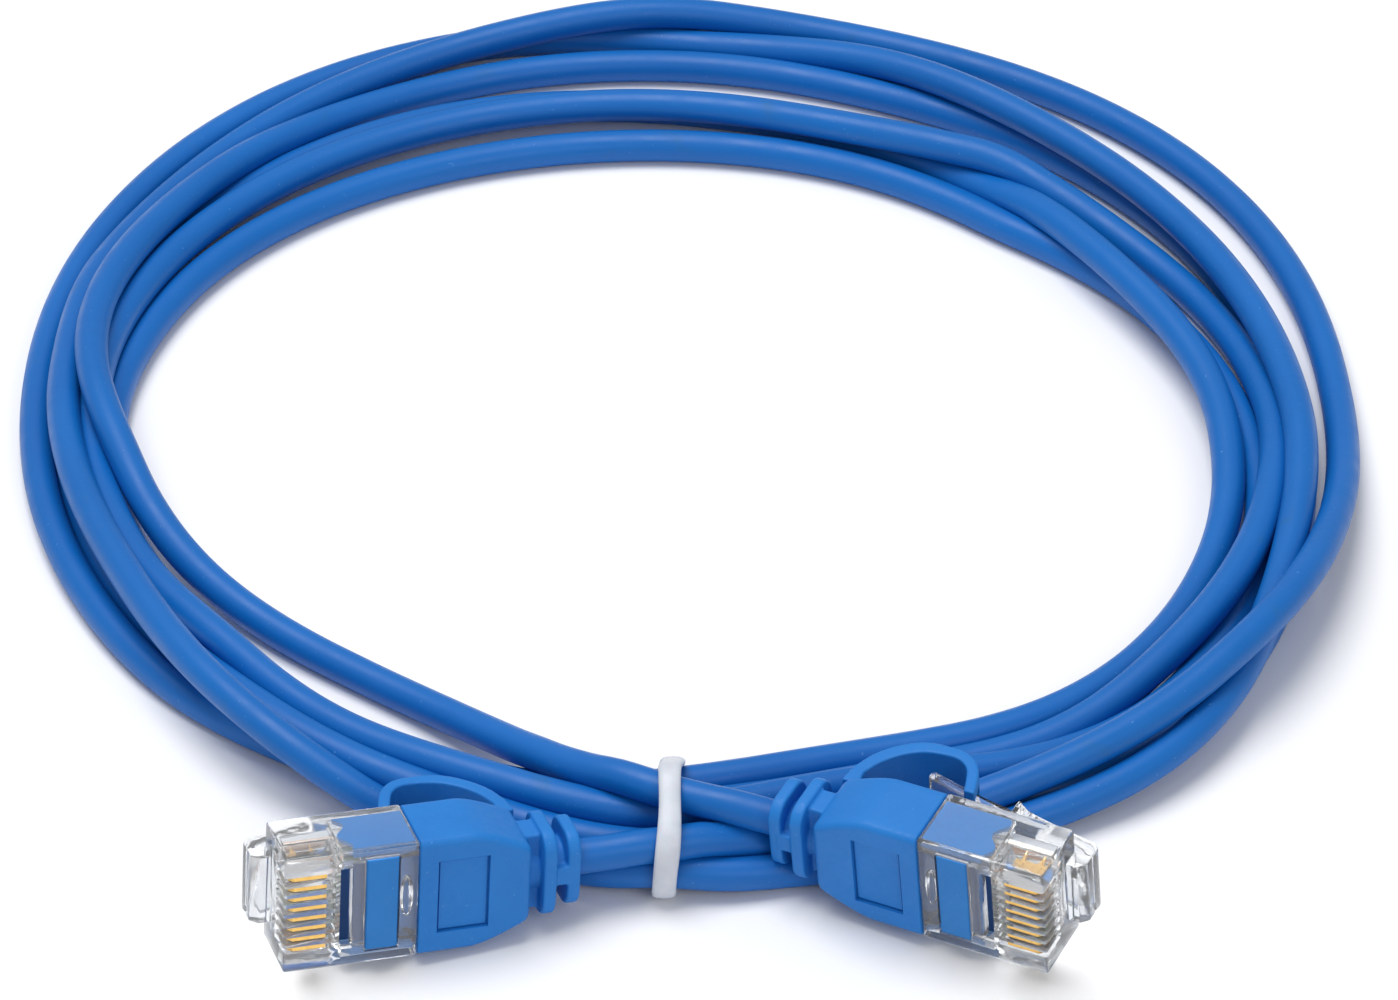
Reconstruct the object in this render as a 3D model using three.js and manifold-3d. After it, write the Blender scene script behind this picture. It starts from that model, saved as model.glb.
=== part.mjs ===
// Ethernet patch cable: a coiled round cord with a modular plug on each end, held by one white tie.
// Millimetres, +Z up. The origin is the centre of the bounding box, at the height of its lowest point.
import * as THREE from 'three';
import { mergeVertices } from 'three/addons/utils/BufferGeometryUtils.js';
import Module from 'manifold-3d';

const wasm = await Module();
wasm.setup();

// ---------- driving dimensions ----------
// Each plug is drawn in its own frame: X from the nose towards the cord, Y across the eight contacts
// with contact 1 at +Y, and Z from the contact face (0) to the latch face.

const CORD = { diameter: 3.2, sides: 8 };

const PLUG = {
  width: 11.68,
  thickness: 6.6,
  shoulder: 12.1, // where the boot starts
  length: 17.2,
  tailWidth: 9.8, // the narrower stretch inside the boot
  tailLow: 0.75,
  tailHigh: 5.85,
  pitch: 1.016,
  ways: 8,
};

const SLOT = { width: 0.56, end: 4.6 };
const CHAMBER = { start: 0.9, end: 5.1, halfWidth: 4.25, low: 3.6, high: 4.9 };
const CAVITY = { halfWidth: 4.4, low: 1.35, high: 5.25 };
const BAR_WINDOW = { start: 5.0, end: 6.2, halfWidth: 4.1 };
const MOULD_WINDOW = { start: 7.3, end: 10.4, halfWidth: 4.7 };
const NOSE_BLOCK = { reach: 1.7, halfWidth: 3.4, low: 4.6, high: 6.4 };

const WIRE = { radius: 0.36, height: 4.25, start: 1.0, end: 7.2 };
const WIRE_COLOURS = [
  0xe9a978, 0xe07a2c, 0xa9cf9f, 0x2f66b5, 0x9db7dd, 0x3f9a4f, 0xc2a58d, 0x7a4a2c,
];
const BLADE = { thickness: 0.36, start: 0.45, end: 3.8, edge: 0.15, shoulder: 2.6, tip: 3.75 };
const BAR = { start: 5.2, end: 7.0, halfWidth: 4.05, low: 1.75, high: 4.95, holeRadius: 0.45 };
const MOULD = {
  start: 7.5,
  housed: 16.9,
  end: 21.0,
  halfWidth: 4.1,
  neckHalfWidth: 2.6,
  low: 1.65,
  high: 4.95,
};

const BOOT = {
  start: 12.15,
  taperStart: 16.8,
  end: 22.4,
  halfWidth: 5.84,
  endHalfWidth: 3.75,
  low: -0.15,
  high: 6.75,
  edgeRadius: 1.3,
  socketEnd: 17.5,
  socketHalfWidth: 5.2,
  socketLow: 0.45,
  socketHigh: 6.15,
  neckEnd: 21.3,
  neckHalfWidth: 2.9,
  boreRadius: 1.95,
};
const PANEL = { start: 13.8, end: 18.5, halfWidth: 3.6, depth: 0.3 };
const RELIEF = { coreRadius: 2.35, end: 27.1 };
const FLANGES = [
  { start: 23.6, end: 24.8, halfWidth: 4.2, low: 0.1, high: 6.5 },
  { start: 25.9, end: 27.1, halfWidth: 3.7, low: 0.5, high: 6.1 },
];
const BRIDGES = [
  { start: 22.0, end: 24.0, halfWidth: 3.6, low: 1.9, high: 4.7 },
  { start: 24.4, end: 26.3, halfWidth: 0.9, low: 0.6, high: 6.0 },
];

const LATCH = { hinge: [-1.3, 7.0], baseHalfWidth: 3.3, armHalfWidth: 1.85, baseEnd: 7.3 };
// Side outline of the latch: outer face from the nose to the finger end, then back along the inner face.
const LATCH_OUTLINE = [
  [-1.6, 6.75], [-1.7, 7.5], [-1.2, 8.1], [0, 8.35], [4, 9.1], [6.0, 9.6], [7.1, 10.4], [7.3, 10.4],
  [7.3, 9.95], [16.3, 12.3], [16.7, 12.0], [16.6, 11.35], [8.0, 9.1], [4.0, 8.1], [0, 7.1], [-1.0, 6.75],
];

const HOOD = { hinge: [21.9, 7.0], rootRadius: 0.85, halfWidth: 3.7, notchHalfWidth: 2.45 };
// Side outline of the hood: up the front leg, over the arch and down to the root, then back underneath.
const HOOD_OUTER = [
  [11.05, 9.3], [11.4, 10.6], [12.0, 12.2], [13.0, 13.4], [14.3, 13.95], [16.3, 14.0], [18.2, 13.55],
  [20.0, 12.3], [21.5, 10.5], [22.4, 8.4],
];
const HOOD_INNER = [
  [21.2, 8.1], [20.4, 9.8], [19.1, 11.35], [17.4, 12.45], [15.4, 12.85], [14.1, 12.75], [13.1, 12.0],
  [12.5, 10.6], [12.1, 9.3],
];

// Where the two plugs lie: the middle of the nose on the contact face, then roll, pitch and heading.
const PLUG_A = { nose: [-34.96, -73.65, 8.1], angles: [-97.33, 5.27, 17.64] };
const PLUG_B = { nose: [30.81, -74.3, 7.6], angles: [85.54, 2.45, 152.61] };

// The coil's outline about its centre: inner and outer radius every 30 degrees, from the tie onwards.
const COIL = {
  centre: [0, 8.33],
  height: 6.0,
  start: -91.5,
  inner: [56.8, 53.7, 53.2, 49.3, 43.0, 40.5, 40.8, 44.0, 49.3, 53.9, 50.6, 50.4],
  outer: [70.4, 70.8, 68.0, 64.1, 64.1, 65.0, 66.2, 66.8, 66.0, 64.1, 64.9, 66.6],
  stepsPerTurn: 72,
};
const TIE = { x: -1.8, width: 1.6, thickness: 1.3, clearance: 0.35 };
const GAP = 0.35;
const LEAD = { start: 21.35, reach: 30.4 };

// ---------- materials ----------

const clearPlastic = () => new THREE.MeshStandardMaterial({
  color: 0xd5dbe3, roughness: 0.12, metalness: 0, transparent: true, opacity: 0.4,
});
const solidColour = (color, roughness, metalness = 0) => (
  new THREE.MeshStandardMaterial({ color, roughness, metalness })
);
const blueRubber = () => solidColour(0x2f73bb, 0.6);
const cordJacket = () => solidColour(0x2a6cb8, 0.45);
const gold = () => solidColour(0xdcab5b, 0.25, 1);
const whitePlastic = () => solidColour(0xd8dbe0, 0.5);
const insulation = (colour) => solidColour(colour, 0.4);

// ---------- solid helpers ----------

function toSolid(geometry) {
  const bare = geometry.index ? geometry.toNonIndexed() : geometry.clone();
  bare.deleteAttribute('normal');
  bare.deleteAttribute('uv');
  const merged = mergeVertices(bare, 1e-4);
  const vertProperties = new Float32Array(merged.attributes.position.array);
  const triVerts = new Uint32Array(merged.index.array);
  return new wasm.Manifold(new wasm.Mesh({ numProp: 3, vertProperties, triVerts }));
}

function toGeometry(solid) {
  const mesh = solid.getMesh();
  const geometry = new THREE.BufferGeometry();
  geometry.setAttribute('position', new THREE.BufferAttribute(mesh.vertProperties, 3));
  geometry.setIndex(new THREE.BufferAttribute(mesh.triVerts, 1));
  geometry.computeVertexNormals();
  return geometry;
}

function block(low, high) {
  const size = high.map((value, i) => value - low[i]);
  const geometry = new THREE.BoxGeometry(...size);
  geometry.translate((low[0] + high[0]) / 2, (low[1] + high[1]) / 2, (low[2] + high[2]) / 2);
  return geometry;
}

// A block that is symmetric across the plug's width.
function slab(start, end, halfWidth, low, high) {
  return block([start, -halfWidth, low], [end, halfWidth, high]);
}

function shapeFrom(points) {
  return new THREE.Shape(points.map(([x, y]) => new THREE.Vector2(x, y)));
}

// A plug piece with the given side outline (X, Z) and a constant width.
function sidePlate(outline, halfWidth) {
  const shape = shapeFrom(outline);
  const geometry = new THREE.ExtrudeGeometry(shape, { depth: 2 * halfWidth, bevelEnabled: false });
  geometry.rotateX(Math.PI / 2);
  geometry.translate(0, halfWidth, 0);
  return geometry;
}

// A rod along the plug's X axis.
function rod(start, end, radius, sides, y, z) {
  const geometry = new THREE.CylinderGeometry(radius, radius, end - start, sides);
  geometry.rotateZ(Math.PI / 2);
  geometry.rotateX(Math.PI / sides);
  geometry.translate((start + end) / 2, y, z);
  return geometry;
}

function joined(...geometries) {
  return geometries.map(toSolid).reduce((whole, piece) => whole.add(piece));
}

function cut(solid, ...geometries) {
  return geometries.map(toSolid).reduce((rest, piece) => rest.subtract(piece), solid);
}

function named(name, geometry, material) {
  const mesh = new THREE.Mesh(geometry, material);
  mesh.name = name;
  return mesh;
}

// ---------- plug pieces ----------

const MIDDLE = PLUG.thickness / 2;
const wayY = (way) => ((PLUG.ways + 1) / 2 - way) * PLUG.pitch;

function housing() {
  const half = PLUG.width / 2;
  const front = slab(0, PLUG.shoulder, half, 0, PLUG.thickness);
  const rear = slab(PLUG.shoulder - 1, PLUG.length, PLUG.tailWidth / 2, PLUG.tailLow, PLUG.tailHigh);
  const { reach, halfWidth, low, high } = NOSE_BLOCK;
  const noseOutline = [
    [0.5, low], [0.5, high], [-reach, high], [-reach, low + 0.7], [-reach + 0.7, low],
  ];
  const nose = sidePlate(noseOutline, halfWidth);
  const slots = [];
  for (let way = 1; way <= PLUG.ways; way += 1) {
    const left = wayY(way) - SLOT.width / 2;
    const right = wayY(way) + SLOT.width / 2;
    slots.push(block([-1, left, -1], [SLOT.end, right, 2.9]));
    slots.push(block([CHAMBER.start, left, 2.5], [SLOT.end, right, CHAMBER.low + 0.3]));
  }
  return toGeometry(cut(
    joined(front, rear, nose),
    ...slots,
    slab(CHAMBER.start, CHAMBER.end + 0.5, CHAMBER.halfWidth, CHAMBER.low, CHAMBER.high),
    slab(CHAMBER.end, PLUG.length + 1, CAVITY.halfWidth, CAVITY.low, CAVITY.high),
    slab(BAR_WINDOW.start, BAR_WINDOW.end, BAR_WINDOW.halfWidth, -1, CAVITY.low + 0.5),
    slab(MOULD_WINDOW.start, MOULD_WINDOW.end, MOULD_WINDOW.halfWidth, -1, CAVITY.low),
  ));
}

function blade() {
  const { start, end, edge, shoulder, tip } = BLADE;
  const tine = 0.45;
  const outline = [
    [start + 0.4, edge], [end, edge], [end, shoulder], [end - tine, shoulder], [end - 1.2 * tine, tip],
    [end - 1.8 * tine, shoulder], [start + 3 * tine, shoulder], [start + 2.4 * tine, tip],
    [start + 1.8 * tine, shoulder], [start, shoulder], [start, edge + 0.4],
  ];
  return sidePlate(outline, BLADE.thickness / 2);
}

function loadBar() {
  const holes = [];
  for (let way = 1; way <= PLUG.ways; way += 1) {
    holes.push(rod(BAR.start - 1, BAR.end + 1, BAR.holeRadius, 8, wayY(way), WIRE.height));
  }
  return toGeometry(cut(joined(slab(BAR.start, BAR.end, BAR.halfWidth, BAR.low, BAR.high)), ...holes));
}

function innerMould() {
  const { start, housed, end, halfWidth, neckHalfWidth, low, high } = MOULD;
  const windowEnd = MOULD_WINDOW.end - 0.1;
  const windowHalfWidth = MOULD_WINDOW.halfWidth - 0.1;
  const window = slab(start - 0.1, windowEnd, windowHalfWidth, 0.05, CAVITY.low - 0.1);
  const stem = slab(start, MOULD_WINDOW.end - 0.3, halfWidth, 0.5, low + 0.5);
  const core = slab(start, housed, halfWidth, low, high);
  const waist = slab(MOULD_WINDOW.end, PLUG.shoulder + 0.4, halfWidth + 1, low - 1, low + 0.9);
  const neck = slab(housed - 0.5, end, neckHalfWidth, low, high);
  return toGeometry(cut(joined(core, neck), waist).add(joined(window, stem)));
}

function bootBody() {
  const { start, taperStart, end, halfWidth, endHalfWidth, low, high, edgeRadius } = BOOT;
  const inset = edgeRadius;
  const shape = new THREE.Shape();
  shape.moveTo(start - 3, -halfWidth + inset);
  shape.lineTo(taperStart, -halfWidth + inset);
  shape.quadraticCurveTo(taperStart + 1.8, -halfWidth + inset, end - inset, -endHalfWidth + inset);
  shape.lineTo(end - inset, endHalfWidth - inset);
  shape.quadraticCurveTo(taperStart + 1.8, halfWidth - inset, taperStart, halfWidth - inset);
  shape.lineTo(start - 3, halfWidth - inset);
  const body = new THREE.ExtrudeGeometry(shape, {
    depth: high - low - 2 * edgeRadius,
    curveSegments: 4,
    bevelEnabled: true,
    bevelThickness: edgeRadius,
    bevelSize: edgeRadius,
    bevelSegments: 3,
  });
  body.translate(0, 0, low + edgeRadius);
  return body;
}

function boot() {
  const pieces = [bootBody(), rod(BOOT.end - 1, RELIEF.end, RELIEF.coreRadius, 16, 0, MIDDLE)];
  for (const { start, end, halfWidth, low, high } of [...FLANGES, ...BRIDGES]) {
    pieces.push(slab(start, end, halfWidth, low, high));
  }
  const [hingeX, hingeZ] = HOOD.hinge;
  const pocketRadius = HOOD.rootRadius + GAP;
  const pocketLength = 2 * (HOOD.halfWidth + GAP);
  const pocket = new THREE.CylinderGeometry(pocketRadius, pocketRadius, pocketLength, 16);
  pocket.translate(hingeX, 0, hingeZ);
  return toGeometry(cut(
    joined(...pieces),
    slab(0, BOOT.start, 2 * BOOT.halfWidth, -5, 15),
    slab(BOOT.start - 1, BOOT.socketEnd, BOOT.socketHalfWidth, BOOT.socketLow, BOOT.socketHigh),
    slab(BOOT.socketEnd - 1, BOOT.neckEnd, BOOT.neckHalfWidth, CAVITY.low, CAVITY.high),
    rod(BOOT.neckEnd - 1, RELIEF.end + 1, BOOT.boreRadius, 12, 0, MIDDLE),
    slab(PANEL.start, PANEL.end, PANEL.halfWidth, -1, BOOT.low + PANEL.depth),
    pocket,
  ));
}

function latch() {
  const plate = sidePlate(LATCH_OUTLINE, LATCH.baseHalfWidth);
  const { baseEnd, armHalfWidth } = LATCH;
  const left = block([baseEnd, armHalfWidth, 5], [20, armHalfWidth + 3, 15]);
  const right = block([baseEnd, -armHalfWidth - 3, 5], [20, -armHalfWidth, 15]);
  return toGeometry(cut(joined(plate), left, right));
}

function hood() {
  const [hingeX, hingeZ] = HOOD.hinge;
  const foot = [[hingeX + 0.75, hingeZ], [hingeX - 0.75, hingeZ]];
  const arch = sidePlate([...HOOD_OUTER, ...foot, ...HOOD_INNER], HOOD.halfWidth);
  const root = new THREE.CylinderGeometry(HOOD.rootRadius, HOOD.rootRadius, 2 * HOOD.halfWidth, 16);
  root.translate(hingeX, 0, hingeZ);
  const notch = slab(10, 13.4, HOOD.notchHalfWidth, 8, 12.1);
  return toGeometry(cut(joined(arch, root), notch));
}

// ---------- one plug with its boot, in its own frame ----------

function place(object, { nose, angles }) {
  object.rotation.set(...angles.map(THREE.MathUtils.degToRad), 'ZYX');
  object.position.set(...nose);
  object.updateMatrixWorld(true);
  return object;
}

function plug(side, pose) {
  const group = new THREE.Group();
  group.add(named(`plug_housing_${side}`, housing(), clearPlastic()));
  group.add(named(`latch_${side}`, latch(), clearPlastic()));
  group.add(named(`load_bar_${side}`, loadBar(), clearPlastic()));
  group.add(named(`inner_mould_${side}`, innerMould(), blueRubber()));
  group.add(named(`boot_${side}`, boot(), blueRubber()));
  group.add(named(`hood_${side}`, hood(), blueRubber()));
  for (let way = 1; way <= PLUG.ways; way += 1) {
    const contact = named(`contact_${side}_${way}`, blade(), gold());
    contact.position.y = wayY(way);
    const wire = rod(WIRE.start, WIRE.end, WIRE.radius, 8, wayY(way), WIRE.height);
    group.add(contact, named(`wire_${side}_${way}`, wire, insulation(WIRE_COLOURS[way - 1])));
  }
  return place(group, pose);
}

// The space that a plug needs beside the coil: boot, tail, hood and the cord's first stretch.
function plugClearance(pose) {
  const tail = FLANGES[0];
  const pieces = [
    slab(BOOT.start - GAP, BOOT.end + GAP, BOOT.halfWidth + GAP, BOOT.low - GAP, BOOT.high + GAP),
    slab(BOOT.end, RELIEF.end + GAP, tail.halfWidth + GAP, tail.low - GAP, tail.high + GAP),
    slab(HOOD_OUTER[0][0] - 1, BOOT.end + 1, HOOD.halfWidth + GAP, BOOT.high, 14.0 + 2 * GAP),
    rod(RELIEF.end - 1, LEAD.reach + GAP, CORD.diameter / 2 + GAP, 8, 0, MIDDLE),
  ];
  const { matrixWorld } = place(new THREE.Object3D(), pose);
  return pieces.map((geometry) => geometry.applyMatrix4(matrixWorld));
}

// The cord from the inner mould, out through the boot's tail, to the face of the coil.
function cordLead(side, pose) {
  const { matrixWorld } = place(new THREE.Object3D(), pose);
  const stops = [LEAD.start, 24.5, 27.5, LEAD.reach];
  const points = stops.map((x) => new THREE.Vector3(x, 0, MIDDLE).applyMatrix4(matrixWorld));
  const section = new THREE.Shape();
  section.absarc(0, 0, CORD.diameter / 2, 0, 2 * Math.PI);
  const tube = new THREE.ExtrudeGeometry(section, {
    steps: 3,
    curveSegments: CORD.sides / 2,
    extrudePath: new THREE.CatmullRomCurve3(points),
  });
  return named(`cord_lead_${side}`, tube, cordJacket());
}

// ---------- coil and tie ----------

function loopThrough(radii) {
  const [centreX, centreY] = COIL.centre;
  const knots = radii.map((radius, i) => {
    const angle = THREE.MathUtils.degToRad(COIL.start + (360 * i) / radii.length);
    return new THREE.Vector3(centreX + radius * Math.cos(angle), centreY + radius * Math.sin(angle), 0);
  });
  const curve = new THREE.CatmullRomCurve3(knots, true);
  return curve.getPoints(COIL.stepsPerTurn).slice(0, -1).map(({ x, y }) => new THREE.Vector2(x, y));
}

function tieOutline(grow) {
  const near = COIL.centre[1] - COIL.outer[0] - TIE.clearance - grow;
  const far = COIL.centre[1] - COIL.inner[0] + TIE.clearance + grow;
  const low = TIE.thickness - grow;
  const high = COIL.height + TIE.clearance + grow;
  const round = 0.4 + grow;
  const shape = new THREE.Shape();
  shape.moveTo(near + round, low);
  shape.lineTo(far - round, low);
  shape.quadraticCurveTo(far, low, far, low + round);
  shape.lineTo(far, high - round);
  shape.quadraticCurveTo(far, high, far - round, high);
  shape.lineTo(near + round, high);
  shape.quadraticCurveTo(near, high, near, high - round);
  shape.lineTo(near, low + round);
  shape.quadraticCurveTo(near, low, near + round, low);
  return shape;
}

function tie() {
  const shape = tieOutline(TIE.thickness);
  shape.holes.push(tieOutline(0));
  const band = new THREE.ExtrudeGeometry(shape, {
    depth: TIE.width,
    curveSegments: 4,
    bevelEnabled: false,
  });
  band.rotateZ(Math.PI / 2);
  band.rotateY(Math.PI / 2);
  band.translate(TIE.x - TIE.width / 2, 0, 0);
  return named('tie', band, whitePlastic());
}

function coil() {
  const shape = new THREE.Shape(loopThrough(COIL.outer));
  shape.holes.push(new THREE.Path(loopThrough(COIL.inner)));
  const ring = new THREE.ExtrudeGeometry(shape, { depth: COIL.height, bevelEnabled: false });
  const half = TIE.width / 2 + GAP;
  const notch = block([TIE.x - half, -80, -1], [TIE.x + half, -30, TIE.thickness + GAP]);
  const solid = cut(joined(ring), notch, ...plugClearance(PLUG_A), ...plugClearance(PLUG_B));
  return named('cord_coil', toGeometry(solid), cordJacket());
}

// ---------- assembly ----------

const cable = new THREE.Group();
cable.add(plug('a', PLUG_A), plug('b', PLUG_B));
cable.add(cordLead('a', PLUG_A), coil(), cordLead('b', PLUG_B), tie());

export default cable;
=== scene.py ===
"""Looks of a coiled ethernet patch cable: a long blue cord, a modular plug with a boot on each end, a tie.

Every piece is modelled in millimetres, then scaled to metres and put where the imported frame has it.
A plug is modelled in its own frame: X from the nose towards the cord, Y across the contacts with
contact 1 at +Y, and Z from the contact face (0) to the latch face.
"""
import math

import bmesh
import bpy
import numpy as np
from mathutils import Euler, Matrix, Vector


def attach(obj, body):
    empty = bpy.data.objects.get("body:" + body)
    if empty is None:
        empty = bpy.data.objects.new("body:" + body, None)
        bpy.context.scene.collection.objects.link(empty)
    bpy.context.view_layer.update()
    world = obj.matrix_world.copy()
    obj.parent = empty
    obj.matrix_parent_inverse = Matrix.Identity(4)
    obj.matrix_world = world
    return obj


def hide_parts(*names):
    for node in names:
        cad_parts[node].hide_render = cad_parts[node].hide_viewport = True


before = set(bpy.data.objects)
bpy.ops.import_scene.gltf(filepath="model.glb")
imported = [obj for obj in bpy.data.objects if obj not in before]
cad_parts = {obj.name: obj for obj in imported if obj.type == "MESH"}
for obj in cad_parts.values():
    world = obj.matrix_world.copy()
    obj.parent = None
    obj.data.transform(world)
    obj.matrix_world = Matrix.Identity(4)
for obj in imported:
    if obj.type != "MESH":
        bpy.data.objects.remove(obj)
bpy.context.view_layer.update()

MM = 0.001
SIDES = ("a", "b")
WAYS = range(1, 9)

# ---------- camera, at the photograph's viewing angle ----------

CAMERA = {"aim": (0.9, -4.67, 0.0), "distance": 696.0, "elevation": 38.0, "lens": 189.63, "sensor": 36.0}


def make_camera():
    """A long lens that looks down at the front of the coil."""
    data = bpy.data.cameras.new("camera")
    data.lens = CAMERA["lens"]
    data.sensor_width = CAMERA["sensor"]
    camera = bpy.data.objects.new("camera", data)
    bpy.context.scene.collection.objects.link(camera)
    elevation = math.radians(CAMERA["elevation"])
    back = Vector((0.0, -math.cos(elevation), math.sin(elevation)))
    camera.location = (Vector(CAMERA["aim"]) + back * CAMERA["distance"]) * MM
    camera.rotation_euler = (math.pi / 2 - elevation, 0.0, 0.0)
    bpy.context.scene.camera = camera


make_camera()

# ---------- where the plugs lie ----------

PLUG_POSES = {
    "a": {"nose": (-34.96, -73.65, 8.1), "angles": (-97.33, 5.27, 17.64)},
    "b": {"nose": (30.81, -74.3, 7.6), "angles": (85.54, 2.45, 152.61)},
}
MIDDLE = 3.3  # half of the plug's thickness: the height of its long axis


def plug_matrix(side):
    pose = PLUG_POSES[side]
    turn = Euler([math.radians(angle) for angle in pose["angles"]], "XYZ").to_matrix().to_4x4()
    return Matrix.Translation(pose["nose"]) @ turn


def plug_point(side, x, y=0.0, z=MIDDLE):
    """Where a point of a plug's own frame is, in millimetres."""
    return plug_matrix(side) @ Vector((x, y, z))


# ---------- materials ----------


def linear(red, green, blue):
    """An sRGB colour, 0 to 255, as the linear colour that a shader takes."""
    def one(value):
        value /= 255
        return value / 12.92 if value <= 0.04045 else ((value + 0.055) / 1.055) ** 2.4
    return (one(red), one(green), one(blue), 1.0)


class Finish:
    """A Principled material, with noise of any scale in its colour, roughness and bump."""

    def __init__(self, name, colour, **sockets):
        self.material = bpy.data.materials.new(name)
        self.material.use_nodes = True
        self.nodes = self.material.node_tree.nodes
        self.links = self.material.node_tree.links
        self.shader = self.nodes["Principled BSDF"]
        self.place = self.nodes.new("ShaderNodeTexCoord").outputs["Object"]
        self.colour = linear(*colour)
        self.shader.inputs["Base Color"].default_value = self.colour
        for socket, value in sockets.items():
            self.shader.inputs[socket.replace("_", " ")].default_value = value

    def noise(self, size, detail=2.0, stretch=(1, 1, 1)):
        """Noise whose lumps are about size millimetres across."""
        mapping = self.nodes.new("ShaderNodeMapping")
        mapping.inputs["Scale"].default_value = stretch
        self.links.new(self.place, mapping.inputs["Vector"])
        texture = self.nodes.new("ShaderNodeTexNoise")
        texture.inputs["Scale"].default_value = 1 / (size * MM)
        texture.inputs["Detail"].default_value = detail
        self.links.new(mapping.outputs["Vector"], texture.inputs["Vector"])
        return texture.outputs["Fac"]

    def spread(self, factor, low, high, start, end):
        """Factor's range low to high, as start to end."""
        node = self.nodes.new("ShaderNodeMapRange")
        for socket, value in zip(("From Min", "From Max", "To Min", "To Max"), (low, high, start, end)):
            node.inputs[socket].default_value = value
        self.links.new(factor, node.inputs["Value"])
        return node.outputs["Result"]

    def tint(self, factor, colour):
        """Mixes another colour in where factor is 1."""
        node = self.nodes.new("ShaderNodeMix")
        node.data_type = "RGBA"
        base = self.shader.inputs["Base Color"]
        if base.is_linked:
            self.links.new(base.links[0].from_socket, node.inputs["A"])
        else:
            node.inputs["A"].default_value = self.colour
        node.inputs["B"].default_value = linear(*colour)
        self.links.new(factor, node.inputs["Factor"])
        self.links.new(node.outputs["Result"], base)
        return self

    def rough(self, factor):
        self.links.new(factor, self.shader.inputs["Roughness"])
        return self

    def bump(self, factor, depth):
        """Raises the surface by depth millimetres where factor is 1."""
        node = self.nodes.new("ShaderNodeBump")
        node.inputs["Distance"].default_value = depth * MM
        if self.shader.inputs["Normal"].is_linked:
            self.links.new(self.shader.inputs["Normal"].links[0].from_socket, node.inputs["Normal"])
        self.links.new(factor, node.inputs["Height"])
        self.links.new(node.outputs["Normal"], self.shader.inputs["Normal"])
        return self


def jacket_finish():
    finish = Finish("cord_jacket", (12, 104, 186), IOR=1.45, Specular_IOR_Level=0.38)
    finish.tint(finish.spread(finish.noise(26, 3), 0.35, 0.7, 0, 0.5), (8, 90, 166))
    finish.tint(finish.spread(finish.noise(5, 4), 0.66, 0.8, 0, 0.35), (46, 98, 138))
    finish.tint(finish.spread(finish.noise(0.35, 1), 0.76, 0.8, 0, 0.5), (96, 150, 205))
    finish.rough(finish.spread(finish.noise(3, 3), 0.3, 0.7, 0.36, 0.5))
    finish.bump(finish.noise(0.5, 3), 0.012)
    finish.bump(finish.noise(7, 2), 0.06)
    return finish.material


def boot_finish(name, colour, depth):
    finish = Finish(name, colour, IOR=1.45, Specular_IOR_Level=0.4)
    finish.tint(finish.spread(finish.noise(6, 3), 0.35, 0.7, 0, 0.45), depth)
    finish.tint(finish.spread(finish.noise(0.28, 1), 0.74, 0.8, 0, 0.4), (120, 170, 222))
    finish.rough(finish.spread(finish.noise(0.6, 3), 0.3, 0.7, 0.46, 0.6))
    finish.bump(finish.noise(0.16, 3), 0.02)
    finish.bump(finish.noise(2.5, 2), 0.03)
    return finish.material


def clear_finish():
    """Clear moulded polycarbonate, with the faint waviness of a moulding."""
    finish = Finish("clear_plastic", (250, 252, 254), IOR=1.49, Transmission_Weight=0.94, Roughness=0.03)
    finish.bump(finish.noise(1.6, 2), 0.015)
    finish.bump(finish.noise(0.5, 1, (1, 1, 0.3)), 0.004)
    return finish.material


def gold_finish():
    finish = Finish("contact_gold", (252, 208, 124), Metallic=1.0)
    finish.tint(finish.spread(finish.noise(0.4, 3), 0.35, 0.7, 0, 0.6), (232, 178, 92))
    finish.rough(finish.spread(finish.noise(0.2, 2, (1, 1, 6)), 0.3, 0.7, 0.24, 0.42))
    finish.bump(finish.noise(0.08, 2, (1, 1, 8)), 0.002)
    return finish.material


def tie_finish():
    finish = Finish("tie_white", (206, 211, 220), Subsurface_Weight=0.15, Coat_Weight=0.1)
    finish.shader.inputs["Subsurface Scale"].default_value = 0.5 * MM
    finish.tint(finish.spread(finish.noise(2.2, 3), 0.4, 0.75, 0, 0.5), (182, 189, 202))
    finish.rough(finish.spread(finish.noise(0.7, 2), 0.3, 0.7, 0.42, 0.58))
    finish.bump(finish.noise(0.3, 3), 0.012)
    return finish.material


def wire_finish(slot, colour, white):
    """A conductor's insulation: coloured, with white stretches on the striped ones."""
    finish = Finish(slot, colour, IOR=1.5)
    finish.tint(finish.spread(finish.noise(0.9, 1), 0.44, 0.5, 0, white), (232, 231, 226))
    finish.rough(finish.spread(finish.noise(0.5, 2), 0.3, 0.7, 0.3, 0.45))
    return finish.material


# The eight conductors in their order across the plug: slot, colour, and how white the striped ones turn.
CONDUCTORS = (
    ("wire_white_orange", (224, 196, 176), 0.95), ("wire_orange", (218, 168, 134), 0.0),
    ("wire_white_green", (200, 216, 200), 0.95), ("wire_blue", (146, 172, 206), 0.0),
    ("wire_white_blue", (196, 208, 226), 0.95), ("wire_green", (156, 190, 160), 0.0),
    ("wire_white_brown", (218, 206, 198), 0.95), ("wire_brown", (172, 150, 138), 0.0),
)

JACKET = jacket_finish()
BOOT = boot_finish("boot_blue", (28, 120, 202), (18, 108, 188))
MOULD = boot_finish("mould_blue", (34, 122, 198), (24, 108, 184))
# Painted shade: a darker copy of the mould blue for the sheet in the load bar window, standing in for the
# shade in that recess.
MOULD_PAINTED_SHADE = boot_finish("mould_blue_painted_shade", (10, 60, 118), (8, 50, 100))
MOULD_SKIN = boot_finish("mould_blue_skin", (6, 108, 176), (6, 100, 166))  # seen through the clear walls
CLEAR = clear_finish()
GOLD = gold_finish()
TIE_WHITE = tie_finish()
WIRES = [wire_finish(*conductor) for conductor in CONDUCTORS]

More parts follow.
